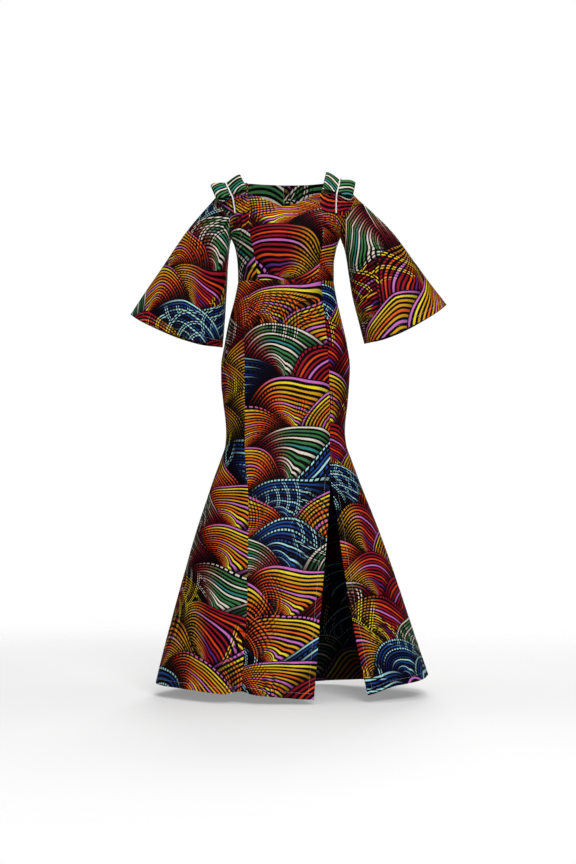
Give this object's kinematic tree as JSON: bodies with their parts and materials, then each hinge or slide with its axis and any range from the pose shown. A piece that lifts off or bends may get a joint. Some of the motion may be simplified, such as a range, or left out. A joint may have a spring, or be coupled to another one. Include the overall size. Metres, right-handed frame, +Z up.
{
  "type": "ankara wax print dress",
  "caption": "Long wax print dress, worn and hollow, with cinched bows on gathered shoulder bands, bell sleeves and a trumpet skirt with a front slit.",
  "frame": {"origin": "on the body's axis at the height of the shoulders, where the wearer holds the dress up; the floor is about 1.38 m below", "axes": "+Z up, -Y out of the front of the dress, +X to the right of someone who faces it, which is the wearer's left"},
  "size_m": [0.87, 0.4971, 1.4288],
  "materials": {
    "gold_print": "soft satin cotton wax print",
    "crimson_print": "soft satin cotton wax print",
    "green_print": "soft satin cotton wax print",
    "navy_print": "soft satin cotton wax print",
    "white_cord": "matt twisted cord"
  },
  "bodies": {
    "root": {"skirt_centre_front": "gold_print", "skirt_side_front_left": "crimson_print", "skirt_side_front_right": "crimson_print", "skirt_back_left": "navy_print", "skirt_back_right": "navy_print", "bodice_centre_front": "gold_print", "bodice_side_front_left": "crimson_print", "bodice_side_front_right": "crimson_print", "bodice_back_left": "green_print", "bodice_back_right": "green_print", "shoulder_band_left": "gold_print", "shoulder_band_right": "gold_print", "sleeve_front_left": "green_print", "sleeve_back_left": "green_print", "sleeve_front_right": "green_print", "sleeve_back_right": "green_print", "bow_outer_left": "green_print", "bow_inner_left": "green_print", "bow_outer_right": "green_print", "bow_inner_right": "green_print", "cinch_cord_left": "white_cord", "cinch_cord_right": "white_cord"}
  },
  "joints": []
}
